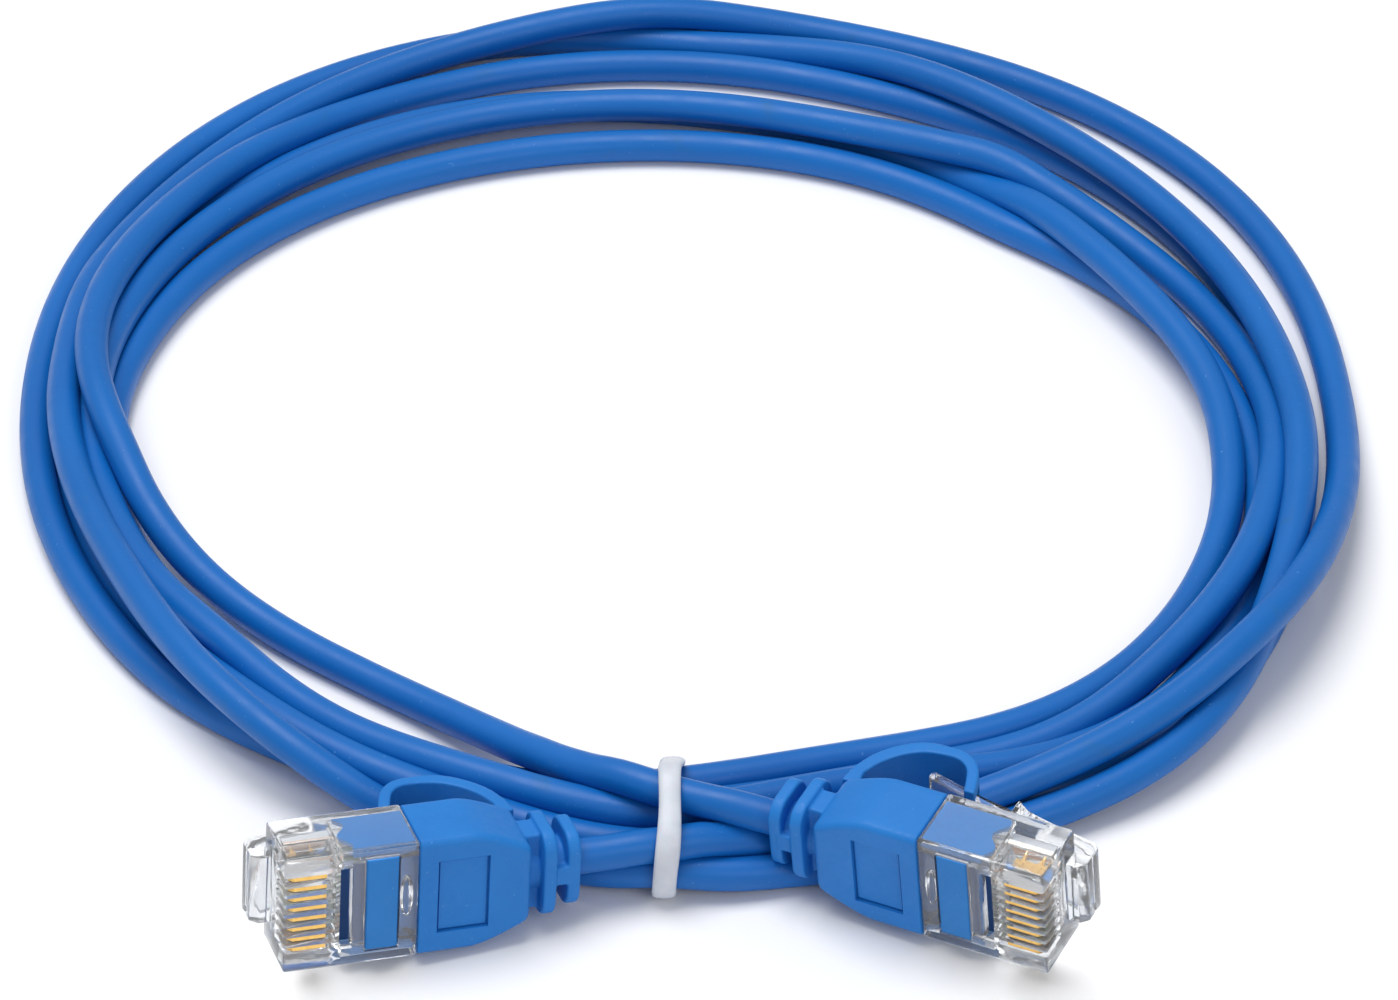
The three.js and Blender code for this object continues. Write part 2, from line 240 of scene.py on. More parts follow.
# ---------- solid helpers, in millimetres ----------


def thing(name, data):
    """A new object in the scene."""
    made = bpy.data.objects.new(name, data)
    bpy.context.scene.collection.objects.link(made)
    return made


def from_bmesh(name, work):
    bmesh.ops.recalc_face_normals(work, faces=work.faces)
    mesh = bpy.data.meshes.new(name)
    work.to_mesh(mesh)
    work.free()
    return thing(name, mesh)


def skinned(work, rings):
    """Faces between each ring of vertices and the next."""
    for ring, after in zip(rings, rings[1:]):
        for k in range(len(ring)):
            m = (k + 1) % len(ring)
            work.faces.new((ring[k], ring[m], after[m], after[k]))


def prism(outline, low, high, axis="Y"):
    """A closed prism. Its outline is (X, Z) points when it runs along Y, and (X, Y) when along Z."""
    work = bmesh.new()

    def corner(first, second, depth):
        return (first, depth, second) if axis == "Y" else (first, second, depth)

    rings = [[work.verts.new(corner(u, v, depth)) for u, v in outline] for depth in (low, high)]
    work.faces.new(rings[0])
    work.faces.new(rings[1])
    for i in range(len(outline)):
        j = (i + 1) % len(outline)
        work.faces.new((rings[0][i], rings[0][j], rings[1][j], rings[1][i]))
    return from_bmesh("prism", work)


def rounded_box(low, high, radius=0.0, segments=3):
    work = bmesh.new()
    size = [b - a for a, b in zip(low, high)]
    middle = Vector([(a + b) / 2 for a, b in zip(low, high)])
    bmesh.ops.create_cube(work, size=1.0)
    bmesh.ops.scale(work, vec=size, verts=work.verts)
    bmesh.ops.translate(work, vec=middle, verts=work.verts)
    if radius:
        bmesh.ops.bevel(
            work, geom=list(work.edges), offset=radius, segments=segments, profile=0.5, affect="EDGES"
        )
    return from_bmesh("box", work)


def slab(start, end, half_width, low, high, radius=0.0, segments=3):
    """A box that is symmetric across the plug's width."""
    return rounded_box((start, -half_width, low), (end, half_width, high), radius, segments)


ALONG_X = Matrix(((0, 0, 1, 0), (1, 0, 0, 0), (0, 1, 0, 0), (0, 0, 0, 1)))  # X to Y, Y to Z, Z to X
CORNER_STEPS = 8


def rod(start, end, radius, y=0.0, z=MIDDLE, sides=24):
    """A rod along the plug's X axis."""
    circle = [2 * math.pi * i / sides for i in range(sides)]
    outline = [(y + radius * math.cos(a), z + radius * math.sin(a)) for a in circle]
    made = prism(outline, start, end, "Z")
    made.data.transform(ALONG_X)
    return made


def disc(start, end, half_width, low, high, corner, edge):
    """A flange: a plate across the plug's axis with round corners and soft rims."""
    outline = []
    for y_side, z_side, first in ((1, 1, 0), (-1, 1, 90), (-1, -1, 180), (1, -1, 270)):
        y = y_side * (half_width - corner)
        z = (high - corner) if z_side > 0 else (low + corner)
        for step in range(CORNER_STEPS + 1):
            angle = math.radians(first + 90 * step / CORNER_STEPS)
            outline.append((y + corner * math.cos(angle), z + corner * math.sin(angle)))
    made = prism(outline, start, end, "Z")
    made.data.transform(ALONG_X)
    return bevelled(made, edge, 3, 60)


def smooth_line(points, steps=6):
    """A smooth line through the points, as a Catmull-Rom spline."""
    points = [np.array(p, float) for p in points]
    ends = [2 * points[0] - points[1], *points, 2 * points[-1] - points[-2]]
    line = []
    for p0, p1, p2, p3 in zip(ends, ends[1:], ends[2:], ends[3:]):
        for t in np.arange(steps) / steps:
            line.append(0.5 * (
                2 * p1 + (p2 - p0) * t + (2 * p0 - 5 * p1 + 4 * p2 - p3) * t ** 2
                + (3 * p1 - p0 - 3 * p2 + p3) * t ** 3
            ))
    return [tuple(p) for p in line] + [tuple(points[-1])]


def baked(piece):
    """The piece with its modifiers applied."""
    graph = bpy.context.evaluated_depsgraph_get()
    mesh = bpy.data.meshes.new_from_object(piece.evaluated_get(graph))
    piece.modifiers.clear()
    piece.data = mesh
    return piece


def modified(piece, kind, **settings):
    """The piece with one modifier added and applied."""
    modifier = piece.modifiers.new(kind.lower(), kind)
    for name, value in settings.items():
        setattr(modifier, name, value)
    return baked(piece)


def bevelled(piece, width, segments=2, angle=35):
    return modified(
        piece, "BEVEL", width=width, segments=segments, limit_method="ANGLE",
        angle_limit=math.radians(angle), harden_normals=False, use_clamp_overlap=True,
    )


def combine(piece, others, operation):
    for other in others:
        piece = modified(piece, "BOOLEAN", object=other, operation=operation, solver="EXACT")
        bpy.data.objects.remove(other)
    return piece


def joined(first, *others):
    return combine(first, others, "UNION")


def cut(piece, *others):
    return combine(piece, others, "DIFFERENCE")


def moulded(piece, voxel, rounds):
    """The piece with the soft edges of moulded rubber."""
    piece = modified(piece, "REMESH", mode="VOXEL", voxel_size=voxel, use_smooth_shade=True)
    return modified(piece, "SMOOTH", factor=0.5, iterations=rounds)


def finish_piece(piece, name, matrix, body, slot, *materials, nodes=(), shade=40):
    """Scales the piece to metres in the row frame, hangs it on the body it rides on, and hides the CAD nodes
    it stands in for.
    """
    piece.name = name
    piece.data.name = name
    piece.data.transform(Matrix.Scale(MM, 4) @ matrix)
    which = [face.material_index for face in piece.data.polygons]
    piece.data.materials.clear()
    for material in materials:
        piece.data.materials.append(material)
    piece.data.polygons.foreach_set("material_index", [min(i, len(materials) - 1) for i in which])
    piece.data.shade_smooth()
    if shade:
        piece.data.set_sharp_from_angle(angle=math.radians(shade))
    piece.visible_shadow = slot != "clear_plastic"
    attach(piece, body)
    if nodes:
        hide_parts(*nodes)
    return piece


# ---------- the boots and hoods, which the cord keeps clear of ----------

BOOT_TOP = 6.75
TAIL = {"end": 27.1, "core_radius": 2.15, "bore_radius": 1.68}
HOOD_HINGE = (21.9, 7.0)
HOOD_HALF_WIDTH = 3.7
HOOD_OUTER = (
    (11.05, 9.3), (11.4, 10.6), (12.0, 12.2), (13.0, 13.4), (14.3, 13.95), (16.3, 14.0),
    (18.2, 13.55), (20.0, 12.3), (21.5, 10.5), (22.4, 8.4),
)
HOOD_INNER = (
    (21.2, 8.1), (20.4, 9.8), (19.1, 11.35), (17.4, 12.45), (15.4, 12.85), (14.1, 12.75),
    (13.1, 12.0), (12.5, 10.6), (12.1, 9.3),
)

# ---------- the cord's route ----------

# Where the cord keeps clear: along a plug's boot and hood, beside the hood, and round the tail.
KEEP_OFF = {
    "body": (11.0, 23.0), "body_half_width": 7.2, "hood_side": 5.3, "hood_top": 15.0,
    "tail": (21.5, 27.4), "tail_inside": 0.8, "tail_radius": 4.7,
}

CORD_DIAMETER = 3.2
CORD_RADIUS = CORD_DIAMETER / 2
COIL_MIDDLE = (0.0, 8.33)
COIL_START = -91.5  # the tie's bearing about the coil's middle, in degrees
STATIONS = (0, 15, 30, 60, 90, 120, 150, 180, 210, 240, 270, 300, 330, 345)  # bearings from the tie
TIE_X = -1.8
TIE_LIFT = 1.0  # how far the tie's underside raises the turns
LIFT_REACH = 7.5  # how far from the tie that lift fades

# One row for each turn, from plug a to plug b: the distance from the coil's middle at each station.
TURN_RADII = (
    (71.5, 65, 66.5, 65.5, 62, 63, 63.5, 62, 62, 61, 59, 60, 67, 66),
    (68.2, 66, 69, 63, 56.5, 54.5, 55, 60.5, 65, 64.5, 62.5, 62.5, 62.5, 63),
    (61.5, 58.5, 60.5, 59, 55, 50.5, 44, 46.5, 50.5, 54.5, 56.5, 58.5, 62, 64),
    (64.5, 60, 63, 60, 52.5, 45.5, 42.5, 42.5, 45.5, 51, 55.5, 57, 58, 58.5),
    (59, 55.5, 57, 55, 50.5, 44, 46, 48.5, 53.5, 57, 59, 60, 63, 65),
    (67.5, 63, 67, 62.5, 57.5, 55.5, 55, 56.5, 58.5, 57.5, 57.5, 53.5, 51, 55),
)
# How many turns lie under the cord at the same stations: 0 is on the floor, and 0.5 leans on a neighbour.
TURN_LAYERS = (
    (1.25, 1, 1.25, 1.75, 0, 0, 0, 0.5, 0.5, 0.25, 1, 1.5, 1.75, 0.25),
    (0.25, 0, 0.25, 1, 1.5, 1, 1, 0, 0, 0, 0, 0, 0, 0),
    (0.25, 0, 0, 1, 0.5, 0, 1, 0.75, 0.5, 0.5, 0.75, 1, 0.75, 1),
    (1, 0, 0.25, 0, 0, 0, 0, 0, 0, 0, 0, 0, 0, 0),
    (0.25, 0, 0, 0, 0.75, 1, 0, 0, 0, 0, 0, 0, 0.75, 0.5),
    (0.25, 0, 0, 0, 0, 0, 0, 0, 0, 1, 1.75, 0.5, 0, 0.5),
)
LAYER = 2.9  # how much higher the cord lies on a turn than on the floor
COIL_END = (66.5, 1.75)  # distance and layer where the last turn comes back under the tie
PAST_TAIL = {  # where the first two turns dip under plug b's tail, just after the tie
    0: ((3.2, -59.3, 3.9), (8.2, -56.6, 2.4)),
    1: ((8.2, -59.9, 1.7),),
}
LEAD_X = (21.35, 24.5, 27.5, 29.5)  # the straight stretches inside and behind the boots

# How the route settles: the spacing of its points and the rounds, then what happens in each round.
SETTLE = {
    "spacing": 2.5, "rounds": 80, "stiffness": 60.0, "pull_home": 0.03, "pushes": 2, "slack": 0.02,
    "search_every": 8, "search_beyond": 3.0, "pinned": 6.5, "neighbours": 4,
}
ROUTE_SPACING = 1.25
TINY = 1e-6  # keeps a division from failing


def coil_point(turn, bearing, radius, layer):
    """A station's place: its bearing from the tie, its distance from the coil's middle and its layer."""
    angle = math.radians(COIL_START + 360 * turn + bearing)
    height = CORD_RADIUS + LAYER * layer
    return (COIL_MIDDLE[0] + radius * math.cos(angle), COIL_MIDDLE[1] + radius * math.sin(angle), height)


def route_stations():
    """The points that the cord passes, from plug a to plug b."""
    route = [tuple(plug_point("a", x)) for x in LEAD_X]
    for turn, (radii, layers) in enumerate(zip(TURN_RADII, TURN_LAYERS)):
        points = [coil_point(turn, *place) for place in zip(STATIONS, radii, layers)]
        route += [points[0], *PAST_TAIL.get(turn, ()), *points[1:]]
    route.append(coil_point(len(TURN_RADII), 0, *COIL_END))
    route += [tuple(plug_point("b", x)) for x in reversed(LEAD_X)]
    return np.array(route)


def natural_spline(points, spacing):
    """Points at an even spacing on the smooth cubic spline through the given ones."""
    steps = np.linalg.norm(np.diff(points, axis=0), axis=1)
    at = np.concatenate(([0.0], np.cumsum(steps)))
    count = len(points)
    system = np.eye(count)
    right = np.zeros_like(points)
    for i in range(1, count - 1):
        system[i, i - 1:i + 2] = steps[i - 1], 2 * (steps[i - 1] + steps[i]), steps[i]
        slope = (points[i + 1] - points[i]) / steps[i] - (points[i] - points[i - 1]) / steps[i - 1]
        right[i] = 6 * slope
    bend = np.linalg.solve(system, right)
    where = np.linspace(0, at[-1], int(at[-1] / spacing) * 3)
    k = np.clip(np.searchsorted(at, where) - 1, 0, count - 2)
    h = steps[k][:, None]
    before = (at[k + 1] - where)[:, None]
    after = (where - at[k])[:, None]
    fine = (
        (bend[k] * before ** 3 + bend[k + 1] * after ** 3) / (6 * h)
        + (points[k] / h - bend[k] * h / 6) * before
        + (points[k + 1] / h - bend[k + 1] * h / 6) * after
    )
    return resampled(fine, spacing)


def resampled(points, spacing):
    """The same line with its points at an even spacing."""
    run = np.concatenate(([0.0], np.cumsum(np.linalg.norm(np.diff(points, axis=0), axis=1))))
    where = np.linspace(0, run[-1], int(round(run[-1] / spacing)) + 1)
    return np.stack([np.interp(where, run, points[:, i]) for i in range(3)], axis=1)


def floor_under(points):
    """The lowest height of the cord's middle: on the floor, and raised over the tie's underside."""
    away = (points[:, 0] - TIE_X) / LIFT_REACH
    near_tie = (points[:, 1] < 0) * np.exp(-away ** 2)
    return CORD_RADIUS + TIE_LIFT * near_tie


def stiffener(count, strength):
    """The matrix that takes sharp wiggles out of a line of count points, as bending stiffness does."""
    bend = np.eye(count)
    weights = strength * np.array((1, -4, 6, -4, 1))
    for i in range(2, count - 2):
        bend[i, i - 2:i + 3] += weights
    return np.linalg.inv(bend)


def clear_of_plugs(points):
    """Moves the points out of the boots and tails, and out from between the hoods' sides."""
    for side in SIDES:
        matrix = np.array(plug_matrix(side))
        local = (points - matrix[:3, 3]) @ matrix[:3, :3]
        x, y, z = local.T
        start, end = KEEP_OFF["body"]
        beside = (x > start) & (x < end) & (np.abs(y) < KEEP_OFF["body_half_width"]) & (z > 0)
        if side == "a":
            arch = np.interp(x, *zip(*HOOD_OUTER))
            wall = np.where(np.abs(y) < KEEP_OFF["hood_side"], arch, BOOT_TOP) + CORD_RADIUS
            z[beside] = np.maximum(z, wall)[beside]
        else:
            z[beside] = np.maximum(z, BOOT_TOP + CORD_RADIUS)[beside]
            under = beside & (z < KEEP_OFF["hood_top"]) & (y > -KEEP_OFF["hood_side"])
            y[under] = np.minimum(y, -KEEP_OFF["hood_side"])[under]
        start, end = KEEP_OFF["tail"]
        out = np.hypot(y, z - MIDDLE)
        short = (x >= start) & (x < end) & (out > KEEP_OFF["tail_inside"]) & (out < KEEP_OFF["tail_radius"])
        grow = np.where(short, KEEP_OFF["tail_radius"] / np.maximum(out, TINY), 1.0)
        local = np.stack([x, y * grow, MIDDLE + (z - MIDDLE) * grow], axis=1)
        points = local @ matrix[:3, :3].T + matrix[:3, 3]
    return points


def close_pairs(points, reach, apart):
    """Pairs of points nearer than reach that aren't neighbours along the cord."""
    number = np.arange(len(points))
    gap = np.linalg.norm(points[:, None, :] - points[None, :, :], axis=2)
    return np.nonzero((gap < reach) & (abs(number[:, None] - number[None, :]) > apart))


def settled(points):
    """Pushes touching stretches one diameter apart, as a stiff cord lying on a floor would."""
    home = points.copy()
    spacing = SETTLE["spacing"]
    apart = int(SETTLE["neighbours"] * CORD_DIAMETER / spacing)
    pinned = int(SETTLE["pinned"] / spacing)
    soft = stiffener(len(points), SETTLE["stiffness"] / spacing ** 4)
    for turn in range(SETTLE["rounds"]):
        points = points + SETTLE["pull_home"] * (home - points)
        points = soft @ points
        points[pinned:-pinned] = clear_of_plugs(points[pinned:-pinned])
        if turn % SETTLE["search_every"] == 0:
            i, j = close_pairs(points, CORD_DIAMETER + SETTLE["search_beyond"], apart)
        for _ in range(SETTLE["pushes"]):
            gap = points[i] - points[j]
            length = np.linalg.norm(gap, axis=1)
            touching = length < CORD_DIAMETER
            share = np.maximum(CORD_DIAMETER + SETTLE["slack"] - length, 0) / 2
            push = np.zeros_like(points)
            hits = np.zeros(len(points))
            np.add.at(push, i, gap * (share * touching / np.maximum(length, TINY))[:, None])
            np.add.at(hits, i, touching)
            points += push / np.maximum(hits, 1)[:, None]
        points[:, 2] = np.maximum(points[:, 2], floor_under(points))
        points[:pinned] = home[:pinned]
        points[-pinned:] = home[-pinned:]
    return points


ROUTE = natural_spline(settled(natural_spline(route_stations(), SETTLE["spacing"])), ROUTE_SPACING)


def make_cord():
    """The whole cord as one round curve, from plug a's core to plug b's."""
    data = bpy.data.curves.new("patch_cord", "CURVE")
    data.dimensions = "3D"
    data.bevel_depth = CORD_RADIUS * MM
    data.bevel_resolution = 5
    data.use_fill_caps = True
    spline = data.splines.new("POLY")
    spline.points.add(len(ROUTE) - 1)
    for point, place in zip(spline.points, ROUTE):
        point.co = (*(place * MM), 1.0)
    spline.use_smooth = True
    data.materials.append(JACKET)
    cord = thing("patch_cord", data)
    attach(cord, "root")
    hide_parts("cord_lead_a", "cord_coil", "cord_lead_b")
    return cord


PATCH_CORD = make_cord()

# ---------- the tie ----------

TIE = {"width": 2.1, "thickness": 0.95, "slack": 0.1, "sides": 16, "stations": 120, "softenings": 6}


def tie_loop():
    """The tie's middle line: a loop that hugs the turns it holds, as (Y, Z) points."""
    held = ROUTE[:-1][(ROUTE[:-1, 0] - TIE_X) * (ROUTE[1:, 0] - TIE_X) <= 0]
    held = held[held[:, 1] < 0][:, 1:]
    reach = CORD_RADIUS + TIE["slack"] + TIE["thickness"] / 2
    loop = []
    for angle in np.linspace(0, 2 * math.pi, 240, endpoint=False):
        out = np.array((math.cos(angle), math.sin(angle)))
        loop.append(held[np.argmax(held @ out)] + reach * out)
    loop = np.array(loop)
    closed = np.vstack((loop, loop[:1]))
    run = np.concatenate(([0.0], np.cumsum(np.linalg.norm(np.diff(closed, axis=0), axis=1))))
    where = np.linspace(0, run[-1], TIE["stations"], endpoint=False)
    loop = np.stack([np.interp(where, run, closed[:, i]) for i in range(2)], axis=1)
    for _ in range(TIE["softenings"]):
        loop = (np.roll(loop, 1, axis=0) + 2 * loop + np.roll(loop, -1, axis=0)) / 4
    return loop


def make_tie():
    """The tie, as a soft band that sways and swells a little along the loop."""
    loop = tie_loop()
    middle = loop.mean(axis=0)
    work = bmesh.new()
    rings = []
    sides = TIE["sides"]
    for i, (y, z) in enumerate(loop):
        before, after = loop[i - 1], loop[(i + 1) % len(loop)]
        along = (after - before) / np.linalg.norm(after - before)
        out = np.array((along[1], -along[0]))
        if out @ (loop[i] - middle) < 0:
            out = -out
        turn = 2 * math.pi * i / len(loop)
        sway = 0.3 * math.sin(turn + 0.6) + 0.12 * math.sin(3 * turn)
        swell = 1 + 0.05 * math.sin(2 * turn + 1.0) + 0.03 * math.sin(5 * turn)
        ring = []
        for step in range(sides):
            angle = 2 * math.pi * step / sides
            across = TIE["width"] / 2 * swell * math.copysign(abs(math.cos(angle)) ** 0.75, math.cos(angle))
            thick = TIE["thickness"] / 2 * math.copysign(abs(math.sin(angle)) ** 0.9, math.sin(angle))
            ring.append(work.verts.new((TIE_X + sway + across, y + out[0] * thick, z + out[1] * thick)))
        rings.append(ring)
    skinned(work, rings + rings[:1])
    piece = from_bmesh("tie_loop", work)
    lowest = min(v.co.z for v in piece.data.vertices)
    piece.data.transform(Matrix.Translation((0, 0, max(0.0, 0.02 - lowest))))
    finish_piece(piece, "tie_band", Matrix(), "root", "tie_white", TIE_WHITE, nodes=["tie"], shade=0)


make_tie()

# ---------- plug pieces ----------

PLUG = {"half_width": 5.84, "thickness": 6.6, "shoulder": 12.1, "length": 17.2, "pitch": 1.016}
REAR = {"half_width": 4.9, "low": 0.75, "high": 5.85}  # the housing's narrower end, inside the boot
CAVITY = {"half_width": 4.4, "low": 1.35, "high": 5.25}
POCKETS = {"start": 5.3, "end": 12.0, "inner": 4.2, "outer": 5.2}  # hollows beside the cavity, for the skins
BAR = {"start": 5.2, "end": 7.0, "half_width": 4.05, "low": 1.75, "high": 4.95}
CORE = {"start": 7.5, "end": 16.9, "half_width": 4.1, "low": 1.65, "high": 4.95}
WIRE = {"radius": 0.36, "height": 4.25, "start": 1.0, "end": 7.2, "sides": 16, "tip_radius": 1e-4}
SLOT_HALF_WIDTH = 0.28
BOOT_SIZE = {
    "start": 12.15, "taper": 16.8, "end": 22.4, "half_width": 5.84, "end_half_width": 3.75,
    "low": -0.15, "high": BOOT_TOP, "edge": 0.7,
}
PANEL = {"start": 13.8, "end": 18.5, "half_width": 3.65, "depth": 0.3, "groove": 0.22, "groove_depth": 0.52}
REMESH_SIZE = 0.12
FLANGES = (
    {"start": 23.6, "end": 24.8, "half_width": 4.2, "low": 0.1, "high": 6.5},
    {"start": 25.9, "end": TAIL["end"], "half_width": 3.7, "low": 0.5, "high": 6.1},
)


def way_y(way):
    """How far contact number way is from the plug's middle line."""
    return (4.5 - way) * PLUG["pitch"]


def oval_boss():
    """The rounded oval inside the rear cavity that the moulding gate leaves."""
    work = bmesh.new()
    bmesh.ops.create_uvsphere(work, u_segments=24, v_segments=12, radius=1.0)
    bmesh.ops.scale(work, vec=(0.55, 2.1, 0.85), verts=work.verts)
    bmesh.ops.translate(work, vec=(11.25, 0.0, 1.3), verts=work.verts)
    return from_bmesh("boss", work)


def make_housing():
    """The clear shell, with its contact slots, wire chamber, load bar window and mould window."""
    half = PLUG["half_width"]
    front = slab(0, PLUG["shoulder"], half, 0, PLUG["thickness"], 0.28, 3)
    rear = slab(PLUG["shoulder"] - 1, PLUG["length"], REAR["half_width"], REAR["low"], REAR["high"])
    nose = bevelled(prism([(0.5, 4.6), (0.5, 6.4), (-1.7, 6.4), (-1.7, 5.3), (-1.0, 4.6)], -3.4, 3.4), 0.15)
    shell = joined(front, rear, nose)
    openings = [
        slab(0.9, 5.6, 4.25, 3.6, 4.9),
        slab(5.1, PLUG["length"] + 1, CAVITY["half_width"], CAVITY["low"], CAVITY["high"]),
        slab(5.0, 6.2, 4.1, -1, 1.85),
        slab(7.3, 10.4, 4.7, -1, CAVITY["low"]),
    ]
    for near, far in ((POCKETS["inner"], POCKETS["outer"]), (-POCKETS["outer"], -POCKETS["inner"])):
        low = (POCKETS["start"], near, REAR["low"])
        openings.append(rounded_box(low, (POCKETS["end"], far, REAR["high"])))
    for way in WAYS:
        y = way_y(way)
        left, right = y - SLOT_HALF_WIDTH, y + SLOT_HALF_WIDTH
        openings.append(rounded_box((-1, left, -1), (4.6, right, 2.9)))
        openings.append(rounded_box((0.9, left, 2.5), (4.6, right, 3.9)))
    shell = bevelled(cut(shell, *openings), 0.07, 2, 50)
    return joined(shell, oval_boss())


def make_latch():
    """The sprung arm: a wide root at the nose, two small shoulders, and a narrow finger end."""
    outer = smooth_line([(-1.7, 6.45), (-1.75, 7.4), (-1.2, 8.1), (0, 8.35), (4, 9.1), (6.0, 9.6)], 4)
    inner = smooth_line([(8.0, 9.1), (4.0, 8.1), (0, 7.1), (-1.0, 6.45)], 4)
    shoulder = [(7.1, 10.4), (7.3, 10.4), (7.3, 9.95)]
    finger = [(16.3, 12.3), (16.7, 12.0), (16.6, 11.35)]
    plate = prism(outer + shoulder + finger + inner, -3.3, 3.3)
    sides = [rounded_box((7.3, 1.85, 5), (20, 5, 15)), rounded_box((7.3, -5, 5), (20, -1.85, 15))]
    return bevelled(cut(plate, *sides), 0.14, 3, 40)


def make_load_bar():
    """The clear comb that keeps the eight conductors in line, with a tooth beside each one."""
    bar = slab(BAR["start"], BAR["end"], BAR["half_width"], BAR["low"], BAR["high"], 0.12, 2)
    teeth = []
    for gap in range(9):
        y = way_y(gap) - PLUG["pitch"] / 2
        half = 0.14 if 0 < gap < 8 else 0.06
        outline = [(4.75, y), (5.3, y + half + 0.1), (5.3, y - half - 0.1)]
        teeth.append(prism(outline, 2.1, 3.5, "Z"))
    holes = [rod(4, 8, 0.45, way_y(way), WIRE["height"], WIRE["sides"]) for way in WAYS]
    return cut(joined(bar, *teeth), *holes)


def make_mould():
    """The blue core that locks the conductors: a block in the window, skins along the walls, a neck."""
    window = slab(7.4, 10.3, 4.6, 0.05, 1.25, 0.16, 3)
    stem = slab(7.5, 10.1, 4.1, 0.5, 2.15)
    core = slab(CORE["start"], CORE["end"], CORE["half_width"], CORE["low"], CORE["high"], 0.2, 2)
    neck = slab(CORE["end"] - 0.5, 21.0, 2.6, CORE["low"], CORE["high"], 0.4, 3)
    waist = slab(10.4, 12.5, 5.1, 0.65, 2.55)
    block = cut(joined(core, neck), waist)
    # A thin sheet under the conductors in the load bar window, there to carry the painted shade of that
    # recess.
    painted_shade_web = slab(5.4, 7.6, 4.05, 1.4, 1.68)
    bridge = slab(8.4, 11.6, 4.9, 3.0, 4.6)
    skins = []
    for side in (-1, 1):
        low, high = sorted((side * 4.8, side * 5.25))
        edge = [(5.95 + 0.5 * math.sin(1.9 * z + side), z) for z in np.linspace(0.82, 5.78, 16)]
        skins.append(prism([(11.85, 5.78), (11.85, 0.82), *edge], low, high))
    mould = joined(block, stem, window, painted_shade_web, bridge, *skins)
    for face in mould.data.polygons:
        x, y, z = face.center
        if abs(y) > 4.75:
            face.material_index = 2
        elif x < 7.45 and abs(y) < 4.1 and 1.38 < z < 1.75:
            # The faces of that sheet take the darker blue of the painted shade.
            face.material_index = 1
    return mould


def boot_outline():
    """Half of the boot's plan: straight beside the plug, then drawn in towards the tail."""
    size = BOOT_SIZE
    start = np.array((size["taper"], size["half_width"]))
    bend = np.array((size["taper"] + 1.6, size["half_width"]))
    end = np.array((size["end"], size["end_half_width"]))
    curve = [(1 - t) ** 2 * start + 2 * t * (1 - t) * bend + t * t * end for t in np.linspace(0, 1, 13)]
    return [(size["start"] - 3, size["half_width"])] + [tuple(p) for p in curve]


def make_boot():
    """The moulded boot: a soft body with a sunken panel on the contact side, and the ribbed tail."""
    size = BOOT_SIZE
    half = boot_outline()
    outline = half + [(x, -y) for x, y in reversed(half)]
    body = modified(
        prism(outline, size["low"], size["high"], "Z"), "BEVEL", width=size["edge"], segments=6,
        limit_method="ANGLE", angle_limit=math.radians(40),
    )
    core = rod(size["end"] - 1, TAIL["end"], TAIL["core_radius"], sides=40)
    plates = [disc(f["start"], f["end"], f["half_width"], f["low"], f["high"], 1.9, 0.25) for f in FLANGES]
    bridges = [slab(22.0, 24.0, 3.75, 1.9, 4.7, 0.15), slab(24.4, 26.3, 0.9, 0.45, 6.15, 0.15)]
    boot = joined(body, core, *plates, *bridges)
    boot = cut(
        boot,
        slab(0, size["start"], 12, -5, 15),
        slab(size["start"] - 1, 17.5, 5.2, 0.45, 6.15),
        slab(16.5, 21.3, 2.9, CAVITY["low"], CAVITY["high"]),
        rod(20.3, TAIL["end"] + 1.1, TAIL["bore_radius"], sides=32),
    )
    return cut(moulded(boot, REMESH_SIZE, 2), *panel_cuts())


def panel_cuts():
    """The sunken panel, and the finer groove along its rim."""
    start, end, half, inset = PANEL["start"], PANEL["end"], PANEL["half_width"], PANEL["groove"]
    low = BOOT_SIZE["low"]
    panel = slab(start, end, half, -1, low + PANEL["depth"], 0.05, 1)
    ring = slab(start, end, half, -1, low + PANEL["groove_depth"])
    inside = slab(start + inset, end - inset, half - inset, -2, low + 0.6)
    return panel, cut(ring, inside)


def make_hood():
    """The snag guard: a springy arch from the boot's tail over the latch, with two front legs."""
    x, z = HOOD_HINGE
    root = [(x + 0.75, z - 0.45), (x - 0.9, z - 0.45)]
    outline = smooth_line(HOOD_OUTER, 5) + root + smooth_line(HOOD_INNER, 5)
    arch = prism(outline, -HOOD_HALF_WIDTH, HOOD_HALF_WIDTH)
    arch = cut(arch, slab(10, 13.4, 2.45, 8, 12.1, 0.4))
    return moulded(arch, REMESH_SIZE, 3)


def make_wire(way):
    """One conductor: insulation with a round front end, up to the core."""
    radius, start, end = WIRE["radius"], WIRE["start"], WIRE["end"]
    nose = [(start, 0.0), (start, 0.24), (start + 0.08, 0.33)]
    outline = nose + [(start + 0.2, radius), (end, radius), (end, 0.0)]
    turns = [2 * math.pi * k / WIRE["sides"] for k in range(WIRE["sides"])]
    work = bmesh.new()
    rings = []
    for x, out in outline:
        out += WIRE["tip_radius"]
        places = [(x, way_y(way) + out * math.cos(a), WIRE["height"] + out * math.sin(a)) for a in turns]
        rings.append([work.verts.new(place) for place in places])
    skinned(work, rings)
    work.faces.new(rings[0])
    work.faces.new(rings[-1])
    return from_bmesh("wire", work)


CONTACT_EDGE = 0.035


def copied(piece):
    return thing(piece.name, piece.data.copy())


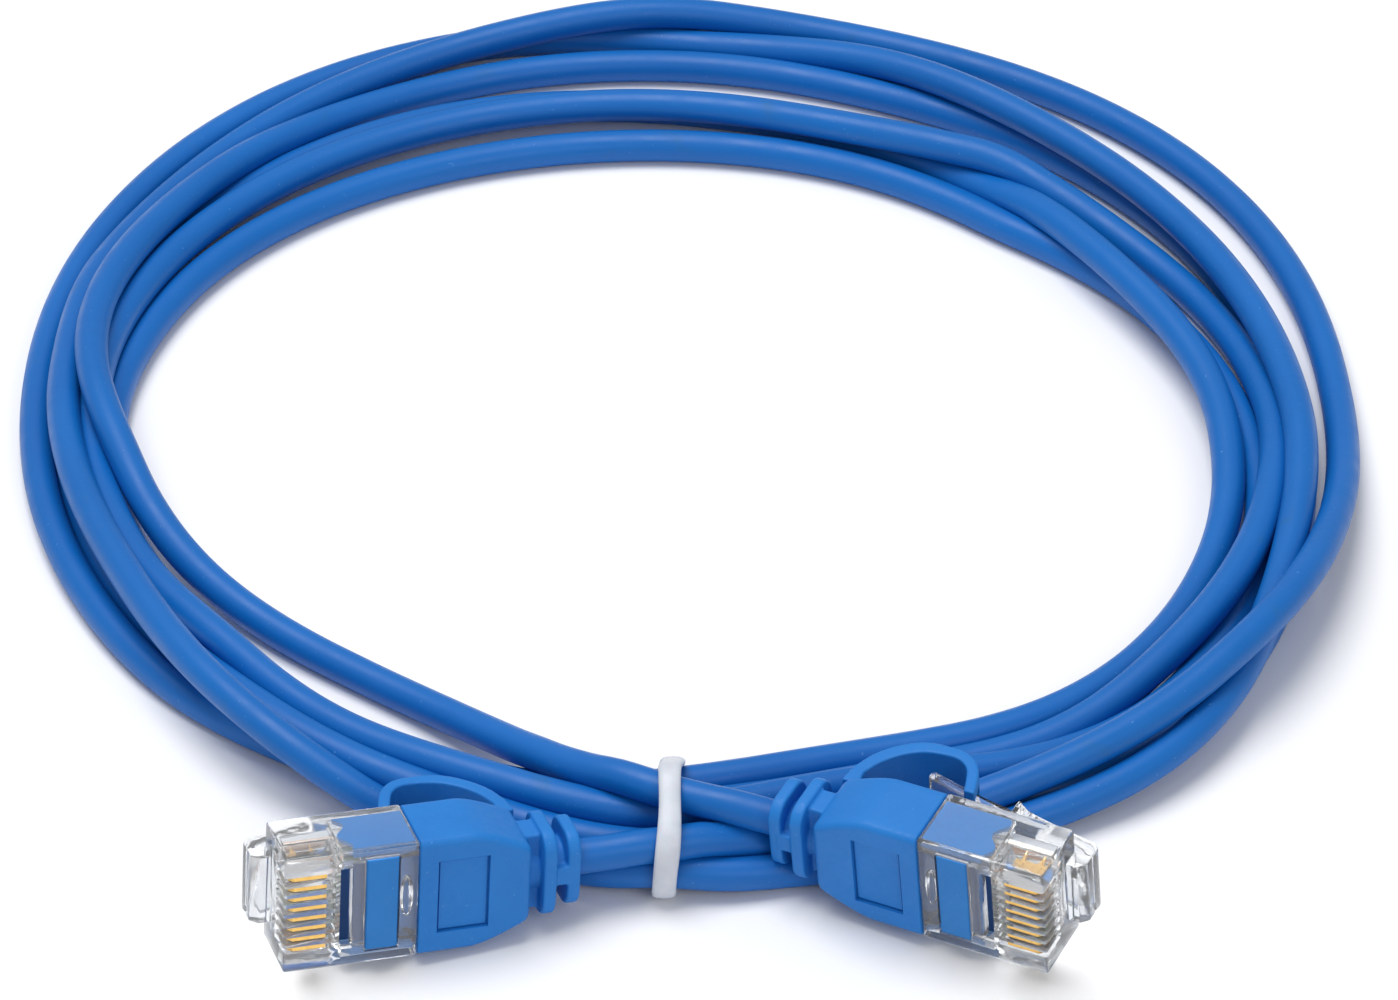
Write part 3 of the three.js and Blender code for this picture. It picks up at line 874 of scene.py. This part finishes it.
PLUG_PIECES = {
    # name: (maker, body, slot, materials, CAD node, sharpest angle shaded smooth)
    "plug_shell": (make_housing, "root", "clear_plastic", [CLEAR], "plug_housing", 35),
    "latch_arm": (make_latch, "latch", "clear_plastic", [CLEAR], "latch", 35),
    "load_comb": (make_load_bar, "root", "clear_plastic", [CLEAR], "load_bar", 30),
    "mould_core": (make_mould, "root", "boot_blue", [MOULD, MOULD_PAINTED_SHADE, MOULD_SKIN], "inner_mould", 35),
    "boot_shell": (make_boot, "root", "boot_blue", [BOOT], "boot", 50),
    "snag_hood": (make_hood, "hood", "boot_blue", [BOOT], "hood", 0),
}


def make_plugs():
    """Both plugs: the pieces made once and copied, the conductors, and gold on the CAD contacts."""
    for name, (maker, body, slot, materials, node, shade) in PLUG_PIECES.items():
        first = maker()
        for side in SIDES:
            piece = first if side == SIDES[-1] else copied(first)
            rides = body if body == "root" else f"{body}_{side}"
            finish_piece(
                piece, f"{name}_{side}", plug_matrix(side), rides, slot, *materials,
                nodes=[f"{node}_{side}"], shade=shade,
            )
    for side in SIDES:
        for way, (slot, _, _), material in zip(WAYS, CONDUCTORS, WIRES):
            finish_piece(
                make_wire(way), f"conductor_{side}_{way}", plug_matrix(side), "root", slot, material,
                nodes=[f"wire_{side}_{way}"], shade=30,
            )
            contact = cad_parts[f"contact_{side}_{way}"]
            contact.data.materials.clear()
            contact.data.materials.append(GOLD)
            soften = contact.modifiers.new("soft_edges", "BEVEL")
            soften.width = CONTACT_EDGE * MM
            soften.segments = 2
            soften.limit_method = "ANGLE"


make_plugs()


def declare_cord():
    """Gathers the names of the pieces that lie on the cord's far end; nothing more is done with them."""
    far = [f"{name}_b" for name in PLUG_PIECES]
    far += [f"conductor_b_{way}" for way in WAYS]
    far += [f"contact_b_{way}" for way in WAYS]


declare_cord()

# ---------- floor and light ----------


FLOOR_SIZE = 6.0
WORLD_STRENGTH = 0.46
SOFTBOXES = (
    # name, place, aim, size and power, in metres and watts
    ("softbox_top", (-0.2, 0.1, 0.95), (0, 0, 0), 0.7, 7.2),
    ("softbox_front", (0.5, -0.9, 0.7), (0, -0.04, 0), 0.6, 2.2),
)


def make_floor():
    """A plain pale floor."""
    finish = Finish("floor", (246, 246, 247), Roughness=0.7)
    finish.tint(finish.spread(finish.noise(60, 2), 0.3, 0.7, 0, 0.2), (241, 242, 244))
    half = FLOOR_SIZE / 2
    mesh = bpy.data.meshes.new("floor")
    mesh.from_pydata(
        [(-half, -half, 0), (half, -half, 0), (half, half, 0), (-half, half, 0)], [], [(0, 1, 2, 3)]
    )
    mesh.materials.append(finish.material)
    floor = thing("floor", mesh)


def make_light(name, place, aim, size, power):
    """A round softbox at place that faces aim."""
    data = bpy.data.lights.new(name, "AREA")
    data.shape = "DISK"
    data.size = size
    data.energy = power
    light = thing(name, data)
    light.location = place
    light.rotation_euler = (Vector(aim) - Vector(place)).to_track_quat("-Z", "Y").to_euler()


def make_world():
    """Even white light from all around."""
    world = bpy.data.worlds.new("studio")
    bpy.context.scene.world = world
    world.use_nodes = True
    background = world.node_tree.nodes["Background"]
    background.inputs["Color"].default_value = (1.0, 1.0, 1.0, 1.0)
    background.inputs["Strength"].default_value = WORLD_STRENGTH


make_floor()
for softbox in SOFTBOXES:
    make_light(*softbox)
make_world()
bpy.context.scene.view_settings.view_transform = "Standard"
